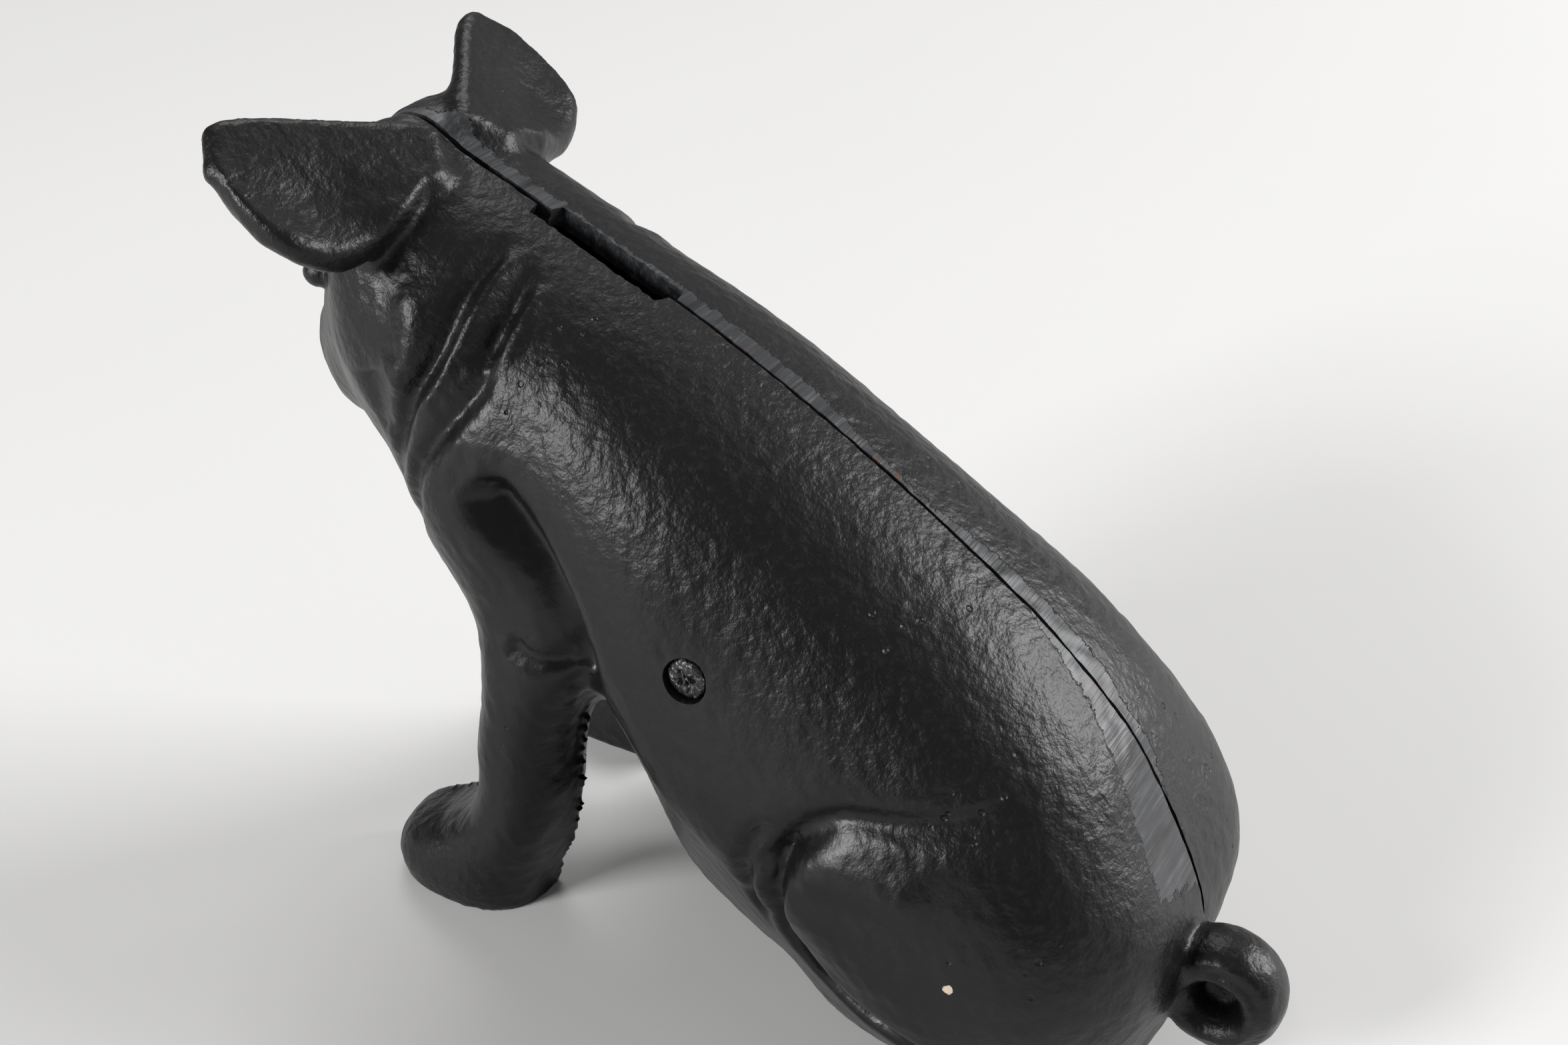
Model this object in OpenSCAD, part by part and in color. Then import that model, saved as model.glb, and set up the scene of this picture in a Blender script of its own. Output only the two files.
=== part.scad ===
// Seated pig coin bank: two hollow half castings that meet on the middle plane, held by one screw.
// Millimetres, +Z up, the pig faces -Y and its left side is +X. The origin is on the floor,
// under the middle of the overall box.

/* [Castings] */
// Wall thickness of the hollow castings
wall = 5; // [4:0.5:6]
// Gap between the two mating faces
seam_gap = 0.7; // [0.4:0.1:1.2]
// Squareness of the body's cross-section above its widest line, where 2 is an ellipse
body_square = 2.5; // [2.2:0.1:2.8]

/* [Coin slot] */
// Length of the coin slot along the back
slot_len = 35; // [32:0.5:38]
// Width of the coin slot across both halves
slot_w = 7.6; // [6.6:0.2:8]
// Slope of the back at the slot, in degrees
slot_slope = 25; // [22:1:28]

/* [Screw] */
// Diameter of the screw's shank
screw_d = 5; // [4:0.5:5]
// Diameter of the screw's pan head
head_d = 8.5; // [8:0.25:9]
// Height of the screw's pan head
head_h = 3.2; // [2.8:0.1:3.6]
// Length of the screw under its head
screw_len = 52; // [50:1:54]
// Diameter of the recess that the head sits in
recess_d = 10; // [10:0.5:12]
// Outer diameter of the pillars that the screw runs through
pillar_d = 15; // [13:0.5:17]

/* [Tail] */
// Radius of the curl, to the middle of its round
tail_curl_r = 8.5; // [8:0.5:9]
// Thickness of the tail
tail_d = 9; // [8:0.5:9]

/* [Hidden] */
eps = 0.01;
ring_sides = 24;
big = 400;
iron = "#26282b";

// Places in the middle plane, as [y, z]
slot_at = [-40, 151];
screw_at = [4, 88];
tail_at = [107, 26.5];
tail_x = 7;

// Ear: its root by the crown, points round its rim, and its thickness
ear_root = [12, -80, 162];
ear_outline = [[10, -82, 170.5], [22, -91, 174], [32, -98, 176], [39, -100.5, 176],
               [45, -95, 170], [44, -87, 163], [38, -81, 156], [27, -77.5, 156]];
ear_thick = 5.6;
lug_at = [[-74.4, 160.5], [77.9, 71]];

// Screw: where its head bears, inside the left flank
seat_x = 40.5;
tap_r = screw_d / 2 + 0.05;
clear_r = screw_d / 2 + 0.3;
tap_floor_x = screw_len - seat_x + 4;
cross_w = 1.3;
cross_len = 5;
cross_deep = 1.8;

// Locating lugs on the right half's rim, and their pockets in the left half's
lug_r = 1.8;
lug_len = 3;
pocket_r = lug_r + 0.3;
lug_boss_r = 4.2;
lug_boss_x = 9;

// Body rings: back [y, z], belly [y, z], half width, squareness below the widest line, and how
// far that line lies above the middle, as a share of the half height
body_rings = [
    [[-117, 122], [-116.5, 107], 6, 2, 0],
    [[-111, 131], [-111, 101], 10, 2, 0],
    [[-106, 142], [-107, 98], 14.5, 2, 0.05],
    [[-97, 162], [-99, 96], 21.5, 1.9, 0.1],
    [[-87, 171], [-90, 91], 29.5, 1.8, 0.1],
    [[-74, 165.5], [-79, 78], 33.5, 1.6, 0.1],
    [[-58, 159], [-64, 62], 35.5, 1.5, 0.1],
    [[-40, 151], [-46, 50], 37.5, 1.45, 0.12],
    [[-21, 143], [-33, 34], 41, 1.4, 0.15],
    [[-2, 133.5], [-25, 16], 44, 1.35, 0.15],
    [[17, 123], [-19, -2], 45.5, 1.35, 0.15],
    [[41, 108], [-4, -10], 47, 1.4, 0.12],
    [[62, 93], [20, -11], 48, 1.6, 0.05],
    [[80, 75.5], [46, -8], 47.5, 2.2, 0],
    [[92, 56], [68, -5], 44, 2.5, 0],
    [[99, 40], [86, -3], 30, 2.5, 0],
    [[101, 30], [96, 8], 12, 2.5, 0]
];

// Foreleg rings: height, front y, rear y, inner x, outer x
leg_rings = [
    [0, -83, -45, 22, 44],
    [6, -84, -44, 21, 45],
    [12, -81, -42, 21, 44.5],
    [18, -70, -40, 21, 43.5],
    [25, -61, -38.5, 20, 42.5],
    [34, -58.5, -37, 19, 41.5],
    [46, -58, -36, 17, 41],
    [58, -56, -33, 13, 41],
    [72, -57, -27, 8, 40],
    [90, -62, -22, 4, 37]
];

// Hind foot rings, in the same form
foot_rings = [
    [0, 17, 92, -8, 32],
    [6, 15.5, 94, -8, 34.5],
    [14, 16, 94, -8, 36],
    [24, 22, 90, -8, 35]
];

function signed_power(v, p) = sign(v) * pow(abs(v), p);
function round_point(i, square) =
    let (a = 360 * i / ring_sides) [signed_power(cos(a), 2 / square), signed_power(sin(a), 2 / square)];

// Place along the line from belly (-1) to back (1), once the widest line is lifted
function lifted(v, lift) = lift == 0 ? v : (sqrt(1 + 4 * lift * (lift + v)) - 1) / (2 * lift);

// One body ring, drawn in by inset on every side
function body_ring(ring, inset) =
    let (half = (ring[0] - ring[1]) / 2,
         middle = (ring[0] + ring[1]) / 2,
         arm = half * (1 - inset / norm(half)),
         w = ring[2] - inset,
         lift = ring[4],
         upper = body_square - 2.5 * lift)
    [for (i = [0:ring_sides - 1])
        let (p = round_point(i, i <= ring_sides / 2 ? upper : ring[3]), v = lifted(p[1], lift))
        [w * p[0], middle[0] + arm[0] * v, middle[1] + arm[1] * v]];

// One level ring of a leg or foot
function level_ring(ring) =
    let (cx = (ring[3] + ring[4]) / 2, cy = (ring[1] + ring[2]) / 2)
    [for (i = [0:ring_sides - 1])
        let (p = round_point(i, body_square))
        [cx + (ring[4] - ring[3]) / 2 * p[0], cy + (ring[2] - ring[1]) / 2 * p[1], ring[0]]];

// Closed skin over a row of rings, each with ring_sides points
module skin(rings) {
    last = len(rings) - 1;
    sides = [for (k = [0:last - 1]) for (i = [0:ring_sides - 1])
        let (j = (i + 1) % ring_sides, a = k * ring_sides, b = a + ring_sides)
        each [[a + i, a + j, b + i], [a + j, b + j, b + i]]];
    first_cap = [for (i = [ring_sides - 1:-1:0]) i];
    last_cap = [for (i = [0:ring_sides - 1]) last * ring_sides + i];
    polyhedron([for (ring = rings) each ring], concat(sides, [first_cap, last_cap]), convexity = 6);
}

module egg(at, size, tilt = 0) {
    translate(at) rotate([tilt, 0, 0]) scale(size) sphere(1, $fn = 24);
}

// A cupped leaf, from its root by the crown to its tip ahead and outward
module ear() {
    hull() {
        translate(ear_root) sphere(5, $fn = 16);
        for (at = ear_outline) translate(at) sphere(ear_thick / 2, $fn = 16);
    }
}

// Outer shape of the pig with the left side's limbs, before it is hollowed and cut
module solid_pig() {
    skin([for (ring = body_rings) body_ring(ring, 0)]);
    skin([for (i = [len(leg_rings) - 1:-1:0]) level_ring(leg_rings[i])]);
    skin([for (i = [len(foot_rings) - 1:-1:0]) level_ring(foot_rings[i])]);
    egg([20, 58, 36], [26, 40, 30]);
    egg([13, -52, 104], [28, 25, 36], 18);
    egg([8, -88, 160], [17, 9, 9]);
    egg([0, -104, 117], [11.5, 14.2, 13], 8);
    thigh();
    ear();
}

// The thigh, from the knee back to the hip
module thigh() {
    hull() {
        translate([36.5, 36, 46]) sphere(13, $fn = 24);
        translate([28, 72, 47]) sphere(15.5, $fn = 24);
    }
}

// The coin chamber, one wall inside the body
module chamber() {
    intersection() {
        skin([for (k = [4:14]) body_ring(body_rings[k], wall)]);
        translate([-big / 2, -big / 2, wall]) cube([big, big, big]);
    }
}

// The hollow half casting as one smooth shell, not yet cut to its mating face
module rough_half(tail) {
    resize([0, 0, 0]) {
        difference() {
            union() {
                solid_pig();
                if (tail) tail_curl();
            }
            chamber();
            translate([-big, -big / 2, -big / 2]) cube([big, big, big]);
        }
    }
}

module tail_curl() {
    translate([tail_x, tail_at[0], tail_at[1]]) rotate([0, 90, 0])
        rotate_extrude($fn = 30) translate([tail_curl_r, 0]) circle(d = tail_d, $fn = 14);
}

// The half casting cut to its mating face and the floor, with the slot's half
module cut_half(tail) {
    difference() {
        rough_half(tail);
        translate([-1, -big / 2, -big / 2]) cube([1 + seam_gap / 2, big, big]);
        translate([-1, -big / 2, -big]) cube([big, big, big]);
        slot_cut();
    }
}

// The coin slot, cut square to the back
module slot_cut() {
    translate([0, slot_at[0], slot_at[1]]) rotate([-slot_slope, 0, 0])
        cube([slot_w, slot_len, 4 * wall], center = true);
}

// A cylinder along X at a place in the middle plane
module along_x(at, r, x0, x1) {
    translate([x0, at[0], at[1]]) rotate([0, 90, 0]) cylinder(h = x1 - x0, r = r, $fn = 48);
}

// Solid bosses inside the shell: the screw's pillar, and one behind each locating lug
module bosses() {
    along_x(screw_at, pillar_d / 2, seam_gap / 2, seat_x);
    for (at = lug_at) along_x(at, lug_boss_r, seam_gap / 2, lug_boss_x);
}

module left_half() {
    color(iron) difference() {
        union() {
            cut_half(true);
            bosses();
        }
        along_x(screw_at, clear_r, -1, big / 4);
        along_x(screw_at, recess_d / 2, seat_x, big / 4);
        for (at = lug_at) along_x(at, pocket_r, -1, seam_gap / 2 + lug_len);
    }
}

module right_half() {
    color(iron) mirror([1, 0, 0]) {
        difference() {
            union() {
                cut_half(false);
                bosses();
            }
            along_x(screw_at, tap_r, -1, tap_floor_x);
        }
        for (at = lug_at) along_x(at, lug_r, -lug_len + seam_gap / 2, wall);
    }
}

module body_screw() {
    color("#3a3b3d") {
        difference() {
            union() {
                along_x(screw_at, head_d / 2, seat_x, seat_x + head_h);
                along_x(screw_at, screw_d / 2, seat_x - screw_len, seat_x + eps);
            }
            translate([seat_x + head_h - cross_deep / 2 + eps, screw_at[0], screw_at[1]]) {
                cube([cross_deep, cross_len, cross_w], center = true);
                cube([cross_deep, cross_w, cross_len], center = true);
            }
        }
    }
}

right_half();
left_half();
body_screw();
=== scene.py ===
import math

import bmesh
import bpy
import numpy as np
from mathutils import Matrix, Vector


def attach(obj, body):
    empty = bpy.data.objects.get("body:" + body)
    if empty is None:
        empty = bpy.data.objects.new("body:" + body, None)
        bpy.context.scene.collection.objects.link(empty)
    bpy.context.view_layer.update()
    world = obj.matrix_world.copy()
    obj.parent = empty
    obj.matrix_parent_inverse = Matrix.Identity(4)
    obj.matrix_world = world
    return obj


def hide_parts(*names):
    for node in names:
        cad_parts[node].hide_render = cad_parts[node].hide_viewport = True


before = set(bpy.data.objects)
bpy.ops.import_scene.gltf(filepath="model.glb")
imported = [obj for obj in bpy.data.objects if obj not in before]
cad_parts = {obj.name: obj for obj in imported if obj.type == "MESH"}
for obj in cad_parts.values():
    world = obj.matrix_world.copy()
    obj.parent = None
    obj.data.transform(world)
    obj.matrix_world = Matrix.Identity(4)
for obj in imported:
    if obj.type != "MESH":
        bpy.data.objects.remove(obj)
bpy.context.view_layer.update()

# --- The two half castings -------------------------------------------------------------------
# The pig is two hollow sand castings in grey iron that meet on the middle plane, X = 0. Limbs,
# ears and folds are cast in one with the wall and run into it in soft fillets, so each half's
# skin is drawn where one field of (x, y, z) changes sign, and is then hollowed, cut and fitted.

MM = 0.001
STEP = 0.94  # spacing of the field's grid, in mm
SEAM_GAP = 0.7
WALL = 5.0
SQUARENESS = 2.5

# back [y, z], belly [y, z], half width, lower power and lift of the body's rings, snout to rump
BODY_RINGS = np.array([
    [-116, 122, -115.5, 107, 6, 2, 0],
    [-111, 131, -111, 101, 10, 2, 0],
    [-106, 142, -107, 98, 14.5, 2, 0.05],
    [-97, 162, -99, 96, 21.5, 1.9, 0.1],
    [-87, 171, -90, 91, 29.5, 1.8, 0.1],
    [-74, 165.5, -79, 78, 33.5, 1.6, 0.1],
    [-58, 159, -64, 62, 35.5, 1.5, 0.1],
    [-40, 151, -46, 50, 37.5, 1.45, 0.12],
    [-21, 143, -33, 34, 41, 1.4, 0.15],
    [-2, 133.5, -25, 16, 44, 1.35, 0.15],
    [17, 123, -19, -2, 45.5, 1.35, 0.15],
    [41, 108, -4, -10, 47, 1.4, 0.12],
    [62, 93, 20, -11, 48, 1.6, 0.05],
    [80, 75.5, 46, -8, 47.5, 2.2, 0],
    [92, 56, 68, -5, 44, 2.5, 0],
    [99, 40, 86, -3, 30, 2.5, 0],
    [101, 30, 96, 8, 12, 2.5, 0],
])

# height, front y, rear y, inner x, parting x and outer x of the foreleg, in mm
FORELEG = np.array([
    [0, -83, -45, 22, 27, 44],
    [6, -84, -44, 21, 27, 45],
    [12, -81, -42, 21, 26, 44.5],
    [18, -70, -40, 21, 25, 43.5],
    [25, -61, -38.5, 20, 25, 42.5],
    [34, -58.5, -37, 19, 25, 41.5],
    [46, -58, -36, 17, 25, 41],
    [58, -56, -33, 13, 24, 41],
    [72, -57, -27, 8, 22, 40],
    [90, -62, -22, 4, 20, 37],
])

# the same for the hind foot
HIND_FOOT = np.array([
    [0, 17, 92, -8, 8, 32],
    [6, 15.5, 94, -8, 8, 34.5],
    [14, 16, 94, -8, 8, 36],
    [24, 22, 90, -8, 8, 35],
])


def along_row(values, t):
    """A smooth curve through a row of values, read at t (0 is the first value): a cubic whose
    slope at each value is half the difference of its two neighbours."""
    values = np.asarray(values, float)
    last = len(values) - 1
    t = np.clip(t, 0, last)
    i = np.minimum(t.astype(int), last - 1)
    u = t - i
    p0, p1 = values[np.maximum(i - 1, 0)], values[i]
    p2, p3 = values[i + 1], values[np.minimum(i + 2, last)]
    if values.ndim > 1:
        u = u[..., None]
    m1, m2 = (p2 - p0) / 2, (p3 - p1) / 2
    return ((2 * u - 3) * u * u + 1) * p1 + ((u - 2) * u + 1) * u * m1 \
        + (3 - 2 * u) * u * u * p2 + (u - 1) * u * u * m2


def join(a, b, soft):
    """Union of two fields: the smaller of the two, less a quarter of the squared overlap of their
    soft zones, which leaves a fillet about as wide as soft."""
    near = np.maximum(soft - np.abs(a - b), 0)
    return np.minimum(a, b) - near * near / (4 * soft)


def carve(a, b, soft):
    """Field a with field b cut out of it, with the edge rounded in the same way."""
    return -join(-a, b, soft)


def fat_oval(dx, dy, a, b, power=SQUARENESS):
    """About the distance to the curve |dx/a|^p + |dy/b|^p = 1: the power mean less one, over the
    length of its own slope."""
    qx, qy = np.abs(dx / a), np.abs(dy / b)
    mean = (qx ** power + qy ** power) ** (1 / power)
    safe = np.maximum(mean, 0.05)
    slope = np.hypot((qx / safe) ** (power - 1) / a, (qy / safe) ** (power - 1) / b)
    return (mean - 1) / np.maximum(slope, 0.6 / np.maximum(a, b))


def body_place(y, z):
    """Where the points (y, z) lie among the body rings: the ring number t whose line from belly
    to back runs through the point, the place v along that line (-1 belly, 1 back), and the
    distances past the first ring's plane and past the last one's."""
    samples = 170
    t = np.linspace(0, len(BODY_RINGS) - 1, samples)
    rings = along_row(BODY_RINGS, t)
    back, belly = rings[:, :2], rings[:, 2:4]
    half, middle = (back - belly) / 2, (back + belly) / 2
    length = np.hypot(half[:, 0], half[:, 1])
    unit = half / length[:, None]
    dy = (y[..., None] - middle[:, 0]).astype(np.float32)
    dz = (z[..., None] - middle[:, 1]).astype(np.float32)
    v = (dy * unit[:, 0] + dz * unit[:, 1]) / length
    side = dy * unit[:, 1] - dz * unit[:, 0]
    turns = (side[..., :-1] >= 0) & (side[..., 1:] < 0)
    cost = np.where(turns, np.abs(v[..., :-1]), 1e3)
    front, rear = -side[..., 0], side[..., -1]
    found = cost.min(-1) < 1e3
    k = np.where(found, cost.argmin(-1), np.where(front > 0, 0, samples - 2))

    def pick(array, index):
        return np.take_along_axis(array, index[..., None], -1)[..., 0]

    s0, s1 = pick(side, k), pick(side, k + 1)
    share = np.where(found, s0 / np.maximum(s0 - s1, 1e-9), np.where(front > 0, 0, 1))
    v = pick(v, k) * (1 - share) + pick(v, k + 1) * share
    return t[k] + share * t[1], v, front, rear


def egg(x, y, z, middle, size, tilt=0):
    """About the distance to an ellipsoid, its long axes turned by tilt degrees in the side view."""
    c, s = math.cos(math.radians(tilt)), math.sin(math.radians(tilt))
    dx, dy, dz = x - middle[0], y - middle[1], z - middle[2]
    dy, dz = dy * c + dz * s, dz * c - dy * s
    mean = np.sqrt((dx / size[0]) ** 2 + (dy / size[1]) ** 2 + (dz / size[2]) ** 2)
    slope = np.sqrt((dx / size[0] ** 2) ** 2 + (dy / size[1] ** 2) ** 2 + (dz / size[2] ** 2) ** 2)
    return (mean - 1) * mean / np.maximum(slope, 0.5 / max(size))


KNEE, HIP = np.array([37, 36, 46]), np.array([27, 72, 47])
KNEE_RADIUS, HIP_RADIUS = 12.5, 15.5


def thigh(x, y, z):
    """The distance to a line from the knee back to the hip, less a radius that grows along it."""
    run = HIP - KNEE
    along = (x - KNEE[0]) * run[0] + (y - KNEE[1]) * run[1] + (z - KNEE[2]) * run[2]
    share = np.clip(along / (run @ run), 0, 1)
    away = np.sqrt((x - KNEE[0] - share * run[0]) ** 2 + (y - KNEE[1] - share * run[1]) ** 2
                   + (z - KNEE[2] - share * run[2]) ** 2)
    return away - KNEE_RADIUS - (HIP_RADIUS - KNEE_RADIUS) * share


def limb(rows, x, y, z):
    """A limb whose level sections are fat ovals read from its rows by height, fuller on the side
    of the parting line that faces out, and closed at its top row's height."""
    row = along_row(rows, np.interp(z.ravel(), rows[:, 0], np.arange(len(rows))))
    front, rear, inner, part, outer = [row[:, i].reshape(z.shape) for i in range(1, 6)]
    dx = x - part
    across = np.where(dx > 0, outer - part, part - inner)
    oval = fat_oval(dx, y - (front + rear) / 2, across, (rear - front) / 2)
    return carve(oval, rows[-1, 0] - z, 6)


EAR_ROOT = np.array([16, -82, 166])
EAR_RUN = np.array([0.77, -0.60, 0.215])  # from root to tip
EAR_BACK = np.array([0.231, 0.577, 0.783])  # the way its back faces

# distance from root to tip, lower edge and upper edge of the ear, in mm
EAR_EDGES = np.array([
    [-20, 2, -9],
    [-6, 6, -9],
    [-2, 12, -9],
    [3, 17, -8.8],
    [8, 20.8, -8.5],
    [13, 22.6, -8.3],
    [20, 22.4, -8],
    [26, 19, -7.6],
    [31, 13, -6.8],
    [35, 6.5, -5.5],
])


def ear(x, y, z):
    """A cupped leaf, measured along its run (s), across from upper to lower edge (q) and out of
    its back (r). Its middle surface droops at the lobe, the lower corner by the root, and is
    dished by a bell curve at its centre. It thickens to a rolled rim along the lower edge. The
    field is the distance to that middle surface, less half the thickness."""
    run = EAR_RUN - EAR_BACK * (EAR_RUN @ EAR_BACK)
    run = run / np.linalg.norm(run)
    over = np.cross(EAR_BACK, run)
    dx, dy, dz = x - EAR_ROOT[0], y - EAR_ROOT[1], z - EAR_ROOT[2]
    s = dx * run[0] + dy * run[1] + dz * run[2]
    q = dx * over[0] + dy * over[1] + dz * over[2]
    r = dx * EAR_BACK[0] + dy * EAR_BACK[1] + dz * EAR_BACK[2]
    lower, upper = np.moveaxis(along_row(EAR_EDGES[:, 1:], np.interp(
        s, EAR_EDGES[:, 0], np.arange(len(EAR_EDGES)))), -1, 0)
    middle, half = (lower + upper) / 2, (lower - upper) / 2
    aside = np.abs(q - middle) - half + 2.6
    ends = np.abs(s - 12.5) - 21
    flat = np.hypot(np.maximum(aside, 0), np.maximum(ends, 0))
    droop = 5 * np.clip((q - 12) / 12, 0, 1.3) * np.clip((22 - s) / 14, 0, 1.3)
    bend = r - 2.4 + droop + 2.2 * np.exp(-((s - 13) ** 2 / 130 + (q - 11) ** 2 / 50))
    thick = 2.8 + 0.8 * np.clip((q - middle) / half, 0, 1) ** 2
    return np.hypot(flat, bend) - thick


TAIL_MIDDLE = (7, 107, 26.5)
TAIL_RING, TAIL_RADIUS = 8.5, 4.6


def tail(x, y, z):
    """The tail's curl: the distance to a ring about X, flattened across, less its radius, with a
    thin web across its eye and a groove round the rear of its outer face."""
    dy, dz = y - TAIL_MIDDLE[1], z - TAIL_MIDDLE[2]
    out = np.hypot(dy, dz)
    curl = np.hypot(out - TAIL_RING, (x - TAIL_MIDDLE[0]) * 0.62) - TAIL_RADIUS
    web = np.maximum(out - 7, np.abs(x - 4.5) - 2.5)
    groove = np.hypot(out - 9.8 + 0.12 * (dz - dy), x - 14.6) - 1.5 + 1.5 * np.clip(-dy / 6, 0, 1)
    return carve(join(curl, web, 1.5), groove, 1)


# Creases and ridges, each drawn in the side view: points [y, z], half width, depth (minus stands
# proud), and the least x at which it shows.
CREASES = [
    # neck and cheek
    ([[-51, 168], [-54, 158], [-57, 149], [-60, 137], [-65, 127], [-69, 117], [-72, 106]],
     2.4, 2.8, 12),
    ([[-48, 167], [-51, 157], [-54, 144], [-58, 133], [-65, 122]], 2.0, -1.6, 13),
    ([[-45, 164], [-47.5, 154], [-48.5, 144], [-50, 135]], 2.3, 3.4, 14),
    ([[-42, 162], [-43, 152], [-44.5, 142], [-48, 133]], 2.2, -1.3, 15),
    ([[-44, 140], [-51, 130], [-58, 120], [-63, 112], [-66, 103], [-69, 94]], 2.2, 2.2, 10),
    ([[-68, 150], [-66, 142], [-67, 134], [-72, 128]], 4.0, -1.8, 14),
    ([[-78, 130], [-76, 124], [-74, 116]], 4.0, 1.5, 14),
    # armpit and elbow
    ([[-49, 115], [-43, 110], [-36, 102], [-29, 92], [-25, 81], [-25, 72]], 5.0, 6.5, 24),
    ([[-43, 78], [-36, 75], [-29, 76]], 2.6, 1.6, 27),
    # front and underside of the thigh, the fold ahead of it, and its proud upper edge
    ([[35, 64], [29, 58], [26, 49.5], [25, 41], [26.5, 33], [31, 26.5], [39, 21.5], [50, 18],
      [62, 16]], 2.3, 4.2, 20),
    ([[25, 63], [20, 56], [17.5, 47], [17.5, 38], [20, 29]], 1.8, 2.2, 24),
    ([[30, 55], [38, 57.5], [48, 57.5], [60, 56]], 5, -2.2, 30),
    # above the haunch, two wrinkles behind it and one by the knee
    ([[22, 47], [25, 55], [31, 63], [39, 68.5], [48, 70], [60, 71.5], [72, 73], [84, 74]],
     3.2, 2.6, 30),
    ([[54, 74], [64, 81], [72, 86], [80, 91]], 2.0, 0.8, 28),
    ([[60, 73], [70, 77], [80, 80], [87, 81]], 2.0, 0.8, 28),
    ([[16, 40], [20, 48], [26, 56]], 2.0, 1.0, 28),
]


def relief(x, y, z):
    """How deep the creases press in at each point: for each one its depth, times a bell curve of
    the distance from its line in the side view, fading at its ends and towards the middle
    plane."""
    total = np.zeros(np.broadcast_shapes(x.shape, y.shape, z.shape), np.float32)
    for points, width, depth, least_x in CREASES:
        along = np.linspace(0, len(points) - 1, 60)
        line = along_row(points, along)
        gap = np.hypot(y[..., None] - line[:, 0], z[..., None] - line[:, 1])
        nearest = gap.argmin(-1)
        share = nearest / (len(along) - 1)
        fade = np.clip(np.minimum(share, 1 - share) * 6, 0.12, 1)
        bell = depth * fade * np.exp(-((gap.min(-1) / width) ** 2))
        total += bell * np.clip((x - least_x) / 8, 0, 1)
    return total


def grain(p, size, seed):
    """Smooth unevenness between about -1 and 1 at the points p, with bumps about size across: the
    mean of sixteen sine waves that run in random directions, from the given seed."""
    draw = np.random.default_rng(seed)
    waves = draw.normal(size=(16, p.shape[-1]))
    waves *= (2 * math.pi / size) / np.linalg.norm(waves, axis=1)[:, None] \
        * draw.uniform(0.6, 1.6, 16)[:, None]
    return np.sin(p @ waves.T + draw.uniform(0, 6.28, 16)).sum(-1) / 4


def trunk(x, y, z):
    """The trunk and head alone: fat ovals across the lines from belly to back. A lift raises the
    widest line by a share of the half height, and the oval's power goes over to the lower one
    below it. Also returns the distances past the first ring's plane and past the last one's."""
    flat_y, flat_z = np.meshgrid(y, z, indexing="ij")
    t, v, front, rear = body_place(flat_y, flat_z)
    ring = along_row(BODY_RINGS, t)
    width, lower, lift = ring[..., 4], ring[..., 5], ring[..., 6]
    length = np.hypot(ring[..., 0] - ring[..., 2], ring[..., 1] - ring[..., 3]) / 2
    low = np.clip(0.5 - 2.5 * v, 0, 1)
    upper = SQUARENESS - 2.5 * lift
    power = upper + (lower - upper) * low
    raised = v - lift * (1 - v * v)
    return fat_oval(x[:, None, None], raised * length, width, length, power), front, rear


# Rounded masses joined to the body: middle, size, tilt and how soft the join is
MASSES = [
    ((13, -52, 104), (28, 25, 36), 18, 8),  # shoulder
    ((9, -91, 163), (17, 8, 8), 0, 6),  # brow
    ((0, -103, 117), (11.5, 14, 13), 8, 5),  # snout
    ((20, 58, 36), (26, 40, 30), 0, 8),  # haunch
]
EYE = ((19.5, -100, 141), (4, 4, 3.2))
NOSTRIL = ((4.4, -117.5, 119), (2.1, 3.6, 2.8))
FIN_X, FIN_HALF = 25, 0.75  # the flash on the foreleg's parting line


def casting_field(x, y, z, tailed, seed):
    """The outside of a half casting on a grid, in mm: the body with the masses, limbs, ear, eye
    and tail joined on, the creases pressed in, the nostril cut, and a ragged fin of flash a
    millimetre or so proud of the foreleg, on its rear edge and instep."""
    form, front, rear = trunk(x, y, z)
    flat_y, flat_z = np.meshgrid(y, z, indexing="ij")
    x, y, z = x[:, None, None], y[None, :, None], z[None, None, :]
    form = carve(form, -front, 4)
    form = carve(form, -rear, 8)
    for middle, size, tilt, soft in MASSES:
        form = join(form, egg(x, y, z, middle, size, tilt), soft)
    form = join(form, limb(HIND_FOOT, x, y, z), 5)
    form = join(form, egg(x, y, z, (31, 49, 39.5), (18, 26, 18.5), -8), 2.5)
    form = join(form, thigh(x, y, z), 4)
    leg = limb(FORELEG, x, y, z)
    form = join(form, leg, 6)
    form = form + relief(x, y, z) * (1 if tailed else np.clip((152 - z) / 12, 0, 1))
    form = join(form, ear(x, y, z), 5)
    form = join(form, egg(x, y, z, *EYE), 1.2)
    form = carve(form, egg(x, y, z, *NOSTRIL), 1.2)
    ragged = grain(np.stack([flat_y, flat_z], -1), 2.6, seed)
    fin_reach = 0.5 + 0.9 * ragged - 3 * np.clip((flat_z - 56) / 8, 0, 1)
    fin_reach -= 4 * ((flat_y < -50) & ((flat_z > 30) | (flat_z < 14)))
    form = join(form, np.maximum(leg - fin_reach, np.abs(x - FIN_X) - FIN_HALF), 0.8)
    if tailed:
        form = join(form, tail(x, y, z), 3)
    return carve(form, z, 0.8).astype(np.float32)


def sample(field, p):
    """The field read between its grid points, weighted by nearness along each axis."""
    i = np.clip(p.astype(int), 0, np.array(field.shape) - 2)
    u = p - i
    total = 0
    for corner in np.ndindex(2, 2, 2):
        weight = np.prod(np.where(corner, u, 1 - u), axis=1)
        total = total + weight * field[tuple((i + corner).T)]
    return total


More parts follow.
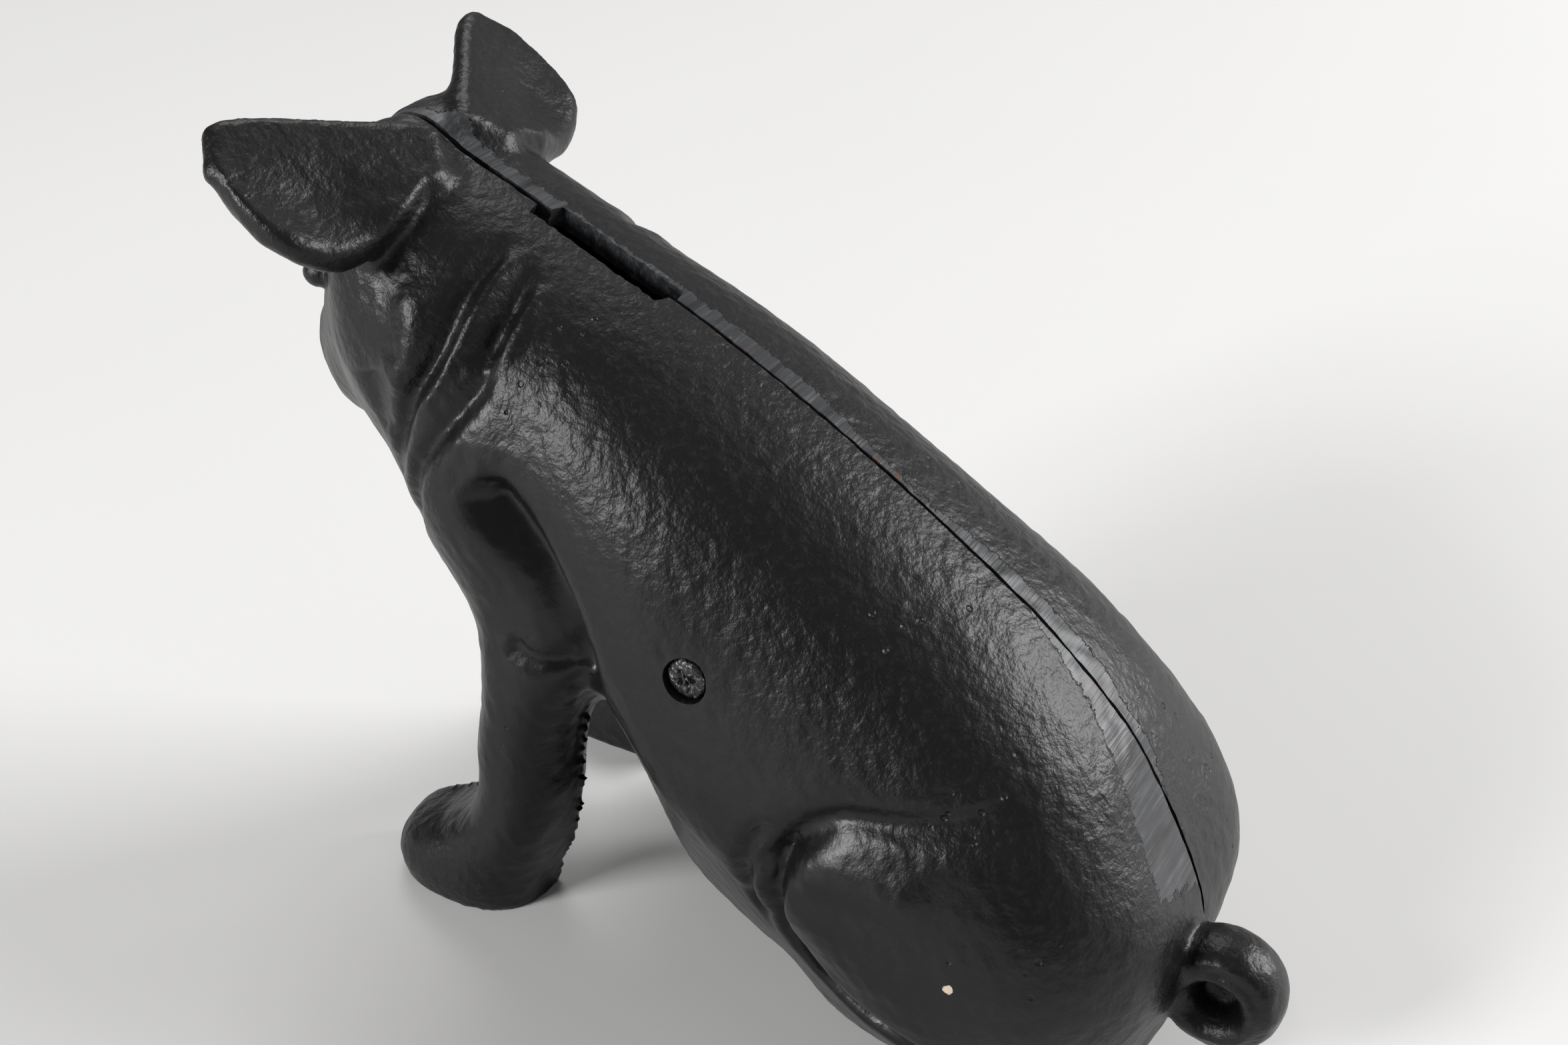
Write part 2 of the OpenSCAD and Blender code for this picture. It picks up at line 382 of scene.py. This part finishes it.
def skin(field, low, step):
    """The surface where a field changes sign: one point in each grid cell that it crosses, at the
    mean of the crossings on the cell's edges, then drawn onto the surface down the field's slope.
    One square face spans each crossed grid edge. Returns points in mm and faces."""
    inside = field < 0
    count = sum(inside[a:a - 1 or None, b:b - 1 or None, c:c - 1 or None].astype(np.int8)
                for a, b, c in np.ndindex(2, 2, 2))
    cells = np.argwhere((count > 0) & (count < 8))
    mean, hits = np.zeros(cells.shape), np.zeros(len(cells))
    for axis in range(3):
        ahead = np.eye(3, dtype=int)[axis]
        for a, b in np.ndindex(2, 2):
            corner = np.insert([a, b], axis, 0)
            f0 = field[tuple((cells + corner).T)].astype(float)
            f1 = field[tuple((cells + corner + ahead).T)].astype(float)
            crossed = (f0 < 0) != (f1 < 0)
            share = np.where(crossed, f0 / np.where(crossed, f0 - f1, 1), 0)
            mean += crossed[:, None] * (corner + share[:, None] * ahead)
            hits += crossed
    points = cells + mean / hits[:, None]
    for _ in range(3):
        slope = np.stack([sample(field, points + d) - sample(field, points - d)
                          for d in 0.5 * np.eye(3)], axis=1)
        steepness = np.maximum((slope ** 2).sum(1), 0.1)
        points = points - 0.7 * slope * (sample(field, points) / steepness)[:, None]
    number = np.full(count.shape, -1)
    number[tuple(cells.T)] = np.arange(len(cells))
    faces = []
    for axis in range(3):
        b, c = [n for n in range(3) if n != axis]
        first = np.moveaxis(inside, axis, 0)
        edges = np.argwhere(first[:-1] != first[1:])
        keep = (edges[:, 1:] > 0).all(1) & (edges[:, 1:] < np.array(first.shape[1:]) - 1).all(1)
        edges = edges[keep]
        home = np.insert(edges[:, 1:], axis, edges[:, 0], axis=1)
        db, dc = np.eye(3, dtype=int)[b], np.eye(3, dtype=int)[c]
        ring = [number[tuple((home - d).T)] for d in (db + dc, dc, 0 * db, db)]
        quad = np.stack(ring, axis=1)
        outward = first[tuple(edges.T)] != (axis == 1)
        faces.append(np.where(outward[:, None], quad, quad[:, ::-1]))
    return low + points * step, np.concatenate(faces)


def mesh_object(name, points, faces, finish=0, weld=False):
    """A mesh object from points in mm and faces of four corners, all shaded smooth, whose faces
    have the given one of the casting's finishes. Welding joins points that lie together."""
    mesh = bpy.data.meshes.new(name)
    mesh.vertices.add(len(points))
    mesh.vertices.foreach_set("co", (points * MM).astype(np.float32).ravel())
    mesh.loops.add(faces.size)
    mesh.loops.foreach_set("vertex_index", faces.astype(np.int32).ravel())
    mesh.polygons.add(len(faces))
    starts = np.arange(0, faces.size, faces.shape[1], dtype=np.int32)
    mesh.polygons.foreach_set("loop_start", starts)
    mesh.polygons.foreach_set("material_index", np.full(len(faces), finish, np.int32))
    mesh.update(calc_edges=True)
    if weld:
        whole = bmesh.new()
        whole.from_mesh(mesh)
        bmesh.ops.remove_doubles(whole, verts=whole.verts[:], dist=1e-7)
        bmesh.ops.recalc_face_normals(whole, faces=whole.faces[:])
        whole.to_mesh(mesh)
        whole.free()
    mesh.validate()
    mesh.shade_smooth()
    piece = bpy.data.objects.new(name, mesh)
    bpy.context.scene.collection.objects.link(piece)
    return piece


def grid_axes(low, high, step):
    """The grid's places along x, y and z, from the low corner to the high one."""
    return [np.arange(a, b + step, step) for a, b in zip(low, high)]


def cut(piece, cutter):
    """The cutter taken away from the piece, and then thrown away itself."""
    change = piece.modifiers.new("cut", "BOOLEAN")
    change.operation, change.object, change.solver = "DIFFERENCE", cutter, "MANIFOLD"
    bpy.context.view_layer.update()
    result = bpy.data.meshes.new_from_object(
        piece.evaluated_get(bpy.context.evaluated_depsgraph_get()))
    piece.modifiers.clear()
    old, piece.data = piece.data, result
    bpy.data.meshes.remove(old)
    bpy.data.meshes.remove(cutter.data)


def grid_faces(rows, columns, closed=False):
    """Square faces between neighbours on a grid of rows by columns, its columns joined round."""
    i, j = np.meshgrid(np.arange(rows - 1), np.arange(columns - (not closed)), indexing="ij")
    k = (j + 1) % columns
    return np.stack([i * columns + j, i * columns + k, (i + 1) * columns + k,
                     (i + 1) * columns + j], -1).reshape(-1, 4)


def block(outline_low, outline_high):
    """A closed block between two like grids of points, the second above the first."""
    rows, columns = outline_low.shape[:2]
    n = rows * columns
    base = grid_faces(rows, columns)
    rim = np.concatenate([np.arange(columns), columns * np.arange(2, rows + 1) - 1,
                          n - 2 - np.arange(columns - 1), columns * np.arange(rows - 2, 0, -1)])
    after = np.roll(rim, -1)
    sides = np.stack([rim, rim + n, after + n, after], -1)
    points = np.concatenate([outline_low.reshape(-1, 3), outline_high.reshape(-1, 3)])
    return points, np.concatenate([base[:, ::-1] + n, base, sides])


def tube(profile, centre, sides=48):
    """A closed solid turned about a line along X through centre (y, z): a profile of [x, radius]
    carried round it, with a point at each end."""
    profile = np.array(profile, float)
    turn = 2 * math.pi * np.arange(sides) / sides
    x, radius = profile[:, :1], profile[:, 1:]
    points = np.stack([x + 0 * turn, centre[0] + radius * np.cos(turn),
                       centre[1] + radius * np.sin(turn)], -1).reshape(-1, 3)
    return points, grid_faces(len(profile), sides, closed=True)[:, ::-1]


SCREW_AT = (4.0, 88.0)
SEAT_X = 40.5
LUGS = [(-74.4, 160.5), (77.9, 71.0)]
PILLAR_RADIUS, LUG_BOSS_RADIUS, BASE = 7.5, 5, 5
OUTSIDE = ([-3.6, -126, -2.7], [54, 126, 184])
HOLLOW = ([-4.8, -108, 2], [50, 104, 172])
HOLLOW_STEP = 1.6
PAST_SEAM = -2.5  # x that each half is drawn to before its mating face is cut


def hollow_field(x, y, z):
    """The coin chamber: the body without its limbs, drawn in by the wall, less the metal behind
    the armpit's fold, a pillar round the screw, a boss behind each lug and the base."""
    form, front, rear = trunk(x, y, z)
    x, y, z = x[:, None, None], y[None, :, None], z[None, None, :]
    form = carve(form, -front - 8, 6)
    form = carve(form, -rear - 2, 8) + WALL + 1.0
    form = carve(form, egg(x, y, z, (36, -34, 92), (13, 15, 27), 30), 2)
    pillar = np.hypot(y - SCREW_AT[0], z - SCREW_AT[1]) - PILLAR_RADIUS
    form = carve(form, pillar, 2)
    for place in LUGS:
        boss = np.hypot(np.hypot(y - place[0], z - place[1]), x / 2) - LUG_BOSS_RADIUS
        form = carve(form, boss, 2)
    return carve(form, z - BASE - 0 * x, 2)


def seam_cutter(seed):
    """A block that takes away all that lies past the mating plane, whose face wanders by a few
    tenths of a millimetre with the distance along the casting."""
    y, z = np.meshgrid(np.arange(-130, 131, 1.5), np.arange(-6, 191, 1.5), indexing="ij")
    p = np.stack([y, z], -1)
    face = SEAM_GAP / 2 + 0.12 + 0.10 * grain(p, 14, seed) + 0.10 * grain(p, 4, seed + 1)
    wide = np.clip((-42 - y) / 6, 0, 1) * 0.3
    return block(np.stack([-20 + 0 * y, y, z], -1), np.stack([face + wide, y, z], -1))


SLOT_AT = (-40, 151)
SLOT_SLOPE, SLOT_HALF = 24, 3.8


def slot_cutter(seed, side):
    """A ragged block for half the coin slot: its long edge wanders, and its ends step in. The
    right half's edge also has a shallow notch, a bell curve along it, in its front third."""
    run, up = np.meshgrid(np.linspace(-20.5, 20.5, 56), np.linspace(-22, 14, 15), indexing="ij")
    slope = math.radians(SLOT_SLOPE)
    ragged = grain(np.stack([run, up * 0.3], -1), 3.2, seed)
    width = SLOT_HALF + 0.28 * ragged
    if side > 0:
        width = width * np.clip((run + 18.2) * 6, 0, 1) * np.clip((15.4 - run) * 6, 0, 1)
    else:
        width = width * np.clip((run + 15.5) * 0.9, 0, 1) * np.clip((17.3 - run) * 3, 0, 1)
        width += 0.6 * np.exp(-((run + 7) / 3) ** 2) * (0.6 + 0.4 * ragged)
    y = SLOT_AT[0] + run * math.cos(slope) + up * math.sin(slope)
    z = SLOT_AT[1] - run * math.sin(slope) + up * math.cos(slope)
    width = np.maximum(width, 0.02)
    return block(np.stack([-3 + 0 * run, y, z], -1), np.stack([width, y, z], -1))


def half_casting(name, side, tailed, seed):
    """One half casting, made on the left: its skin with a fine unevenness, less the chamber, all
    past the mating face, the slot and the screw's bore. The right one is then mirrored."""
    axes = grid_axes(*OUTSIDE, STEP)
    form = np.maximum(casting_field(*axes, tailed, seed), PAST_SEAM - axes[0][:, None, None])
    points, faces = skin(form, np.array(OUTSIDE[0]), STEP)
    points += 0.07 * np.stack([grain(points, 5, seed + n) for n in range(3)], -1)
    piece = mesh_object(name, points, faces)
    axes = grid_axes(*HOLLOW, HOLLOW_STEP)
    hollow = np.maximum(hollow_field(*axes), -3.2 - axes[0][:, None, None]).astype(np.float32)
    cut(piece, mesh_object("cutter", *skin(hollow, np.array(HOLLOW[0]), HOLLOW_STEP), 1))
    cut(piece, mesh_object("cutter", *seam_cutter(seed + 10), 2))
    cut(piece, mesh_object("cutter", *slot_cutter(seed + 20, side), 1))
    bore = [[-5, 0], [-5, 2.8], [60, 2.8], [60, 0]]
    if side < 0:
        bore = [[-5, 0], [-5, 2.9], [0.6, 2.9], [1, 2.55], [16.5, 2.55], [18, 0]]
    cut(piece, mesh_object("cutter", *tube(bore, SCREW_AT), 1, weld=True))
    if side > 0:
        recess = [[SEAT_X, 0], [SEAT_X, 4.6], [SEAT_X + 2.5, 4.7], [60, 6.4], [60, 0]]
        cut(piece, mesh_object("cutter", *tube(recess, SCREW_AT), weld=True))
    if side < 0:
        mesh = piece.data
        place = np.empty(len(mesh.vertices) * 3, np.float32)
        mesh.vertices.foreach_get("co", place)
        place[::3] *= -1
        mesh.vertices.foreach_set("co", place)
        mesh.flip_normals()
    piece.data.set_sharp_from_angle(angle=math.radians(38))
    return piece


left_half = half_casting("left_half_casting", 1, True, 1)
right_half = half_casting("right_half_casting", -1, False, 2)


def material(name, **values):
    """A new material, with the Principled shader's own sockets set, and its node tree."""
    finish = bpy.data.materials.new(name)
    finish.use_nodes = True
    shader = finish.node_tree.nodes["Principled BSDF"]
    for socket, value in values.items():
        shader.inputs[socket.replace("_", " ")].default_value = value
    return finish, finish.node_tree, shader


def add(tree, kind, inputs=(), **settings):
    """A node of that kind, with its settings, and inputs given as values or as sockets to link."""
    node = tree.nodes.new("ShaderNode" + kind)
    for key, value in settings.items():
        setattr(node, key, value)
    for key, value in dict(inputs).items():
        if isinstance(value, bpy.types.NodeSocket):
            tree.links.new(value, node.inputs[key])
        else:
            node.inputs[key].default_value = value
    return node


def maths(tree, operation, a, b=0.0, c=0.0, clamp=False):
    """The result of a Math node on up to three values."""
    node = add(tree, "Math", {0: a, 1: b, 2: c}, operation=operation, use_clamp=clamp)
    return node.outputs[0]


def rise(tree, value, start, end):
    """0 below start, 1 above end and a smooth step between."""
    node = add(tree, "MapRange", {"Value": value, "From Min": start, "From Max": end},
               interpolation_type="SMOOTHSTEP")
    return node.outputs["Result"]


def noise(tree, place, scale, detail=2.0, rough=0.5):
    """Noise between 0 and 1 with scale bumps to the metre."""
    node = add(tree, "TexNoise", {"Vector": place, "Scale": scale, "Detail": detail,
                                  "Roughness": rough})
    return node.outputs["Fac"]


def blend_colour(tree, share, a, b):
    """Colour a where share is 0, b where it is 1."""
    node = add(tree, "Mix", {0: share, 6: a, 7: b}, data_type="RGBA")
    return node.outputs[2]


BLACK = (0.0035, 0.0036, 0.0038, 1)
# a painted highlight: the lighter colour given to the pebbles' crests, standing in for the grain's
# speckled glint
SPECKLE_HIGHLIGHT = (0.010, 0.0102, 0.0106, 1)
GROUND = (0.034, 0.035, 0.038, 1)
BRIGHT = (0.080, 0.083, 0.089, 1)
RUST = (0.085, 0.028, 0.012, 1)
CREAM = (0.60, 0.50, 0.40, 1)
CHIPS = [(48.5, 65, 40.5), (46.5, 64, 38.5), (11, 116, 24), (10, 117, 27)]


def black_paint():
    """Thin satin black paint over a rough casting: pebbled where the sand was coarse, its pebbles'
    crests lighter as a painted speckled highlight, smooth on the lower flank, ground back to a dull
    grey beside the seam, with pinholes, rust and chips."""
    finish, tree, shader = material("black_paint_on_iron", Specular_IOR_Level=0.32)
    place = add(tree, "TexCoord").outputs["Object"]
    band = add(tree, "Attribute", attribute_name="ground_reach").outputs["Fac"]
    coarse = add(tree, "Attribute", attribute_name="coarse").outputs["Fac"]
    broad = noise(tree, place, 45, 3)
    pebbles = noise(tree, place, 620, 3, 0.55)
    fine = noise(tree, place, 2100, 2)
    lumps = noise(tree, place, 190, 2)
    ragged = noise(tree, place, 420, 3, 0.7)
    edge = maths(tree, "MULTIPLY_ADD", maths(tree, "SUBTRACT", ragged, 0.5), 5.0, band)
    ground = rise(tree, edge, -0.15, 0.35)
    streak_place = add(tree, "Mapping", {"Vector": place, "Scale": (45, 1500, 900)})
    streaks = noise(tree, streak_place.outputs[0], 1.0, 3, 0.6)
    shine = noise(tree, add(tree, "Mapping", {"Vector": place, "Scale": (20, 260, 260)}).outputs[0],
                  1.0, 2)
    amount = maths(tree, "MULTIPLY_ADD", rise(tree, broad, 0.35, 0.7), 0.35, coarse, clamp=True)
    # the pebbles' crests, most where the casting is coarse, are painted lighter: a painted speckled
    # highlight
    highlit_crests = maths(tree, "MULTIPLY", rise(tree, pebbles, 0.52, 0.72), amount)
    colour = blend_colour(tree, highlit_crests, BLACK, SPECKLE_HIGHLIGHT)
    metal = blend_colour(tree, rise(tree, streaks, 0.45, 0.75), GROUND, BRIGHT)
    worn = maths(tree, "MULTIPLY", ground, rise(tree, shine, 0.2, 0.55))
    colour = blend_colour(tree, worn, colour, metal)
    apart = add(tree, "SeparateXYZ", {0: place})
    from_seam = maths(tree, "ABSOLUTE", apart.outputs["X"])
    near_seam = rise(tree, from_seam, 0.0035, 0.0008)
    specks = rise(tree, noise(tree, place, 330, 3, 0.6), 0.64, 0.70)
    colour = blend_colour(tree, maths(tree, "MULTIPLY", near_seam, specks), colour, RUST)
    chip = 0.0
    for x, y, z in CHIPS:
        away = add(tree, "VectorMath", {0: place, 1: (x * MM, y * MM, z * MM)},
                   operation="DISTANCE").outputs["Value"]
        torn = maths(tree, "MULTIPLY_ADD", ragged, 0.0022, away)
        chip = maths(tree, "MAXIMUM", rise(tree, torn, 0.0022, 0.0019), chip)
    colour = blend_colour(tree, chip, colour, CREAM)
    tree.links.new(colour, shader.inputs["Base Color"])
    dull = maths(tree, "MULTIPLY_ADD", broad, 0.12, 0.27)
    dull = maths(tree, "MULTIPLY_ADD", amount, 0.07, dull)
    dull = add(tree, "Mix", {0: ground, 2: dull, 3: 0.36}).outputs[0]
    tree.links.new(dull, shader.inputs["Roughness"])
    pits = add(tree, "TexVoronoi", {"Vector": place, "Scale": 260.0})
    holes = maths(tree, "MULTIPLY", rise(tree, pits.outputs["Distance"], 0.22, 0.10),
                  rise(tree, noise(tree, place, 38, 2), 0.60, 0.68))
    height = maths(tree, "MULTIPLY", pebbles, maths(tree, "MULTIPLY_ADD", amount, 1.0, 0.12))
    height = maths(tree, "MULTIPLY_ADD", fine, 0.10, height)
    height = maths(tree, "MULTIPLY_ADD", lumps, 0.9, height)
    scored = maths(tree, "MULTIPLY", streaks, 0.45)
    height = add(tree, "Mix", {0: ground, 2: height, 3: scored}).outputs[0]
    height = maths(tree, "MULTIPLY_ADD", ground, -0.35, height)
    height = maths(tree, "MULTIPLY_ADD", holes, -1.2, height)
    bump = add(tree, "Bump", {"Height": height, "Strength": 1.0, "Distance": 0.00028})
    tree.links.new(bump.outputs[0], shader.inputs["Normal"])
    return finish


def raw_iron(name, light, dark, roughness):
    """Unpainted iron: grey, speckled with brown rust, and rough from the sand."""
    finish, tree, shader = material(name, Metallic=0.35)
    place = add(tree, "TexCoord").outputs["Object"]
    grit = noise(tree, place, 700, 3, 0.6)
    colour = blend_colour(tree, rise(tree, grit, 0.35, 0.65), dark, light)
    rusty = rise(tree, noise(tree, place, 90, 4, 0.65), 0.52, 0.66)
    colour = blend_colour(tree, rusty, colour, RUST)
    tree.links.new(colour, shader.inputs["Base Color"])
    tree.links.new(maths(tree, "MULTIPLY_ADD", grit, 0.2, roughness), shader.inputs["Roughness"])
    bump = add(tree, "Bump", {"Height": grit, "Strength": 1.0, "Distance": 0.0003})
    tree.links.new(bump.outputs[0], shader.inputs["Normal"])
    return finish


FINISHES = [black_paint(),
            raw_iron("bare_iron_inside", (0.020, 0.019, 0.018, 1), (0.006, 0.006, 0.006, 1), 0.6),
            raw_iron("ground_mating_face", (0.10, 0.10, 0.10, 1), (0.02, 0.02, 0.02, 1), 0.45)]

# |x| that the grinding reached along each half's seam: (y, reach) in mm
LEFT_REACH = [(-80, 1.0), (-60, 0.6), (-20, 0.2), (52, -0.5), (64, 3), (72, 5), (79, 9),
              (85, 12), (91, 15.5), (96, 17)]
RIGHT_REACH = [(-92, 2.5), (-80, 5), (-60, 5), (-18, 5.2), (4, 5.4), (15, 3.6), (25, 2.2),
               (34, 1.6), (41, 4), (55, 5), (69, 5.6), (75, 3.8), (84, 3.4), (90, -1)]


BAND_DEPTH = 14  # how far below the back's ridge the ground band may reach, in mm


def mark_surface(piece, reach):
    """Writes each vertex's distance in mm inside the ground band (the reach less |x|, kept near
    the ridge and off the tail's root), and how coarse the casting is there: most along the back,
    less on the head, hoof and rump, and none on the lower flank. The coarseness also sets where the
    pebbles' crests get the painted speckled highlight."""
    mesh = piece.data
    place = np.empty(len(mesh.vertices) * 3, np.float32)
    mesh.vertices.foreach_get("co", place)
    x, y, z = np.moveaxis(place.reshape(-1, 3) / MM, -1, 0)
    x = np.abs(x)
    ridge = np.interp(y, BODY_RINGS[:, 0], BODY_RINGS[:, 1])
    within = np.interp(y, *np.transpose(reach)) - x
    within = np.minimum(within, BAND_DEPTH - (ridge - z) * 0.9)
    within = np.where(y > 90, np.minimum(within, (z - 44 - 0.42 * x) * 0.7), within)
    over_back = np.clip((z + 0.62 * y - 86) / 30, 0, 1)
    head = np.clip((-52 - y) / 12, 0, 1) * 0.6
    hoof = np.clip((26 - z) / 8, 0, 1) * np.clip((-48 - y) / 8, 0, 1) * 0.7
    rear = np.clip((y - 84) / 14, 0, 1) * 0.6
    coarse = np.maximum.reduce([over_back, head, hoof, rear])
    for name, values in (("ground_reach", within), ("coarse", coarse)):
        layer = mesh.attributes.new(name, "FLOAT", "POINT")
        layer.data.foreach_set("value", values.astype(np.float32))


for piece, body, node, reach in ((left_half, "left_casting", "left_half", LEFT_REACH),
                                 (right_half, "right_casting", "right_half", RIGHT_REACH)):
    piece.data.materials.clear()
    for finish in FINISHES:
        piece.data.materials.append(finish)
    mark_surface(piece, reach)
    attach(piece, body)
    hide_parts(node)

# --- The body screw --------------------------------------------------------------------------
# A steel pan-head machine screw with a cross recess, driven through the left flank into the
# right half's pillar, and painted over in place, so the recess is half filled with paint.

HEAD_RADIUS, HEAD_HEIGHT, SHANK_RADIUS, SCREW_LENGTH = 4.2, 3.2, 2.45, 52.0
PITCH, THREAD_DEPTH = 0.8, 0.22
CROSS_TURN, CROSS_DEPTH = 28, 1.5
SCREW_SIDES = 96


def screw_points():
    """The screw as rings about its axis: a point on the head's crown, rings out over the pan
    head with the cross pressed in, then down its side, under it and along the ridged shank."""
    crown = np.linspace(0, 1, 26)
    radius = HEAD_RADIUS * crown
    height = HEAD_HEIGHT - 0.75 * crown ** 4
    side = [(HEAD_RADIUS + 0.05, HEAD_HEIGHT - 1.1), (HEAD_RADIUS + 0.05, 0.6), (HEAD_RADIUS, 0),
            (SHANK_RADIUS + 0.3, 0), (SHANK_RADIUS, -0.4)]
    along = np.linspace(-2, 1 - SCREW_LENGTH, 240)
    thread = SHANK_RADIUS - THREAD_DEPTH * (0.5 - 0.5 * np.cos(2 * math.pi * along / PITCH))
    radius = np.concatenate([radius, [r for r, _ in side], thread, [1.6, 0]])
    height = np.concatenate([height, [h for _, h in side], along,
                             [-SCREW_LENGTH, -SCREW_LENGTH]])
    turn = 2 * math.pi * np.arange(SCREW_SIDES) / SCREW_SIDES
    y, z = radius[:, None] * np.cos(turn), radius[:, None] * np.sin(turn)
    tilt = math.radians(CROSS_TURN)
    arm_a = np.abs(y * math.cos(tilt) + z * math.sin(tilt))
    arm_b = np.abs(z * math.cos(tilt) - y * math.sin(tilt))
    slim, far = np.minimum(arm_a, arm_b), np.maximum(arm_a, arm_b)
    cross = np.clip((0.95 - slim) / 0.5, 0, 1) * np.clip((2.8 - far) / 0.7, 0, 1)
    clog = 0.5 + 0.35 * grain(np.stack([y, z], -1), 1.6, 5)
    on_top = height[:, None] > 1.5
    x = height[:, None] - CROSS_DEPTH * cross * np.clip(clog, 0.15, 1) * on_top
    x = x + 0.10 * grain(np.stack([y, z], -1), 1.3, 6) * on_top
    points = np.stack([SEAT_X + x, SCREW_AT[0] + y, SCREW_AT[1] + z], -1)
    return points.reshape(-1, 3), len(radius)


points, rings = screw_points()
body_screw = mesh_object("flank_screw", points, grid_faces(rings, SCREW_SIDES, closed=True),
                         weld=True)
body_screw.data.set_sharp_from_angle(angle=math.radians(50))


def painted_steel():
    """Black paint pooled on a steel head, worn to bare steel on the cross's edges."""
    finish, tree, shader = material("paint_on_steel", Roughness=0.3)
    place = add(tree, "TexCoord").outputs["Object"]
    pool = noise(tree, place, 900, 3, 0.6)
    out = add(tree, "SeparateXYZ", {0: place}).outputs["X"]
    bare = maths(tree, "MULTIPLY", rise(tree, pool, 0.56, 0.66),
                 rise(tree, out, (SEAT_X + 0.8) * MM, (SEAT_X + 1.6) * MM))
    shank = rise(tree, out, SEAT_X * MM, (SEAT_X - 0.3) * MM)
    colour = blend_colour(tree, bare, (0.009, 0.009, 0.0095, 1), (0.12, 0.12, 0.115, 1))
    colour = blend_colour(tree, shank, colour, (0.33, 0.33, 0.32, 1))
    tree.links.new(colour, shader.inputs["Base Color"])
    tree.links.new(shank, shader.inputs["Metallic"])
    bump = add(tree, "Bump", {"Height": pool, "Strength": 1.0, "Distance": 0.0002})
    tree.links.new(bump.outputs[0], shader.inputs["Normal"])
    return finish


body_screw.data.materials.clear()
body_screw.data.materials.append(painted_steel())
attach(body_screw, "screw")
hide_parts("body_screw")

# --- The setting -----------------------------------------------------------------------------
# A wide pale sheet under large soft lamps, and the camera high behind the pig's left side.

sheet = bpy.data.meshes.new("floor")
REACH = 6
sheet.from_pydata([(-REACH, -REACH, 0), (REACH, -REACH, 0), (REACH, REACH, 0), (-REACH, REACH, 0)],
                  [], [(0, 1, 2, 3)])
floor = bpy.data.objects.new("floor", sheet)
bpy.context.scene.collection.objects.link(floor)
pale, tree, shader = material("pale_sheet", Roughness=0.55, Specular_IOR_Level=0.3)
place = add(tree, "TexCoord").outputs["Object"]
tint = blend_colour(tree, noise(tree, place, 3, 2), (0.66, 0.654, 0.648, 1),
                    (0.68, 0.676, 0.672, 1))
tree.links.new(tint, shader.inputs["Base Color"])
sheet.materials.append(pale)

AZIMUTH, ELEVATION = math.radians(120), math.radians(32)
lens = bpy.data.cameras.new("camera")
lens.lens, lens.sensor_width, lens.clip_start = 45, 36, 0.01
camera = bpy.data.objects.new("camera", lens)
camera.location = (0.298, 0.173, 0.3146)
camera.rotation_euler = (math.pi / 2 - ELEVATION, 0, AZIMUTH)
bpy.context.scene.collection.objects.link(camera)
bpy.context.scene.camera = camera


def soft_box(name, way, distance, size, power):
    """A square lamp that shines at the pig from that way and distance."""
    lamp = bpy.data.lights.new(name, "AREA")
    lamp.shape, lamp.size, lamp.energy = "SQUARE", size, power
    holder = bpy.data.objects.new(name, lamp)
    way = Vector(way).normalized()
    holder.location = way * distance + Vector((0, 0, 0.08))
    holder.rotation_euler = way.to_track_quat("Z", "Y").to_euler()
    bpy.context.scene.collection.objects.link(holder)


soft_box("key_light", (-0.56, 0.66, 0.44), 2.6, 1.25, 81)
soft_box("fill_light", (0.80, -0.46, 0.40), 2.2, 0.7, 46)
soft_box("top_light", (-0.55, -0.45, 0.9), 2.4, 1.0, 16)

world = bpy.data.worlds.new("studio")
world.use_nodes = True
sky = world.node_tree
way = add(sky, "TexCoord").outputs["Generated"]
behind = add(sky, "VectorMath", {0: way, 1: (-0.62, 0.60, 0.30)}, operation="DOT_PRODUCT")
glow = add(sky, "MapRange", {"Value": behind.outputs["Value"], "From Min": -0.3, "From Max": 0.9,
                             "To Min": 0.12, "To Max": 0.40}, interpolation_type="SMOOTHSTEP")
backing = sky.nodes["Background"]
backing.inputs["Color"].default_value = (1.0, 0.995, 0.99, 1)
sky.links.new(glow.outputs["Result"], backing.inputs["Strength"])
bpy.context.scene.world = world
bpy.context.scene.view_settings.view_transform = "Standard"
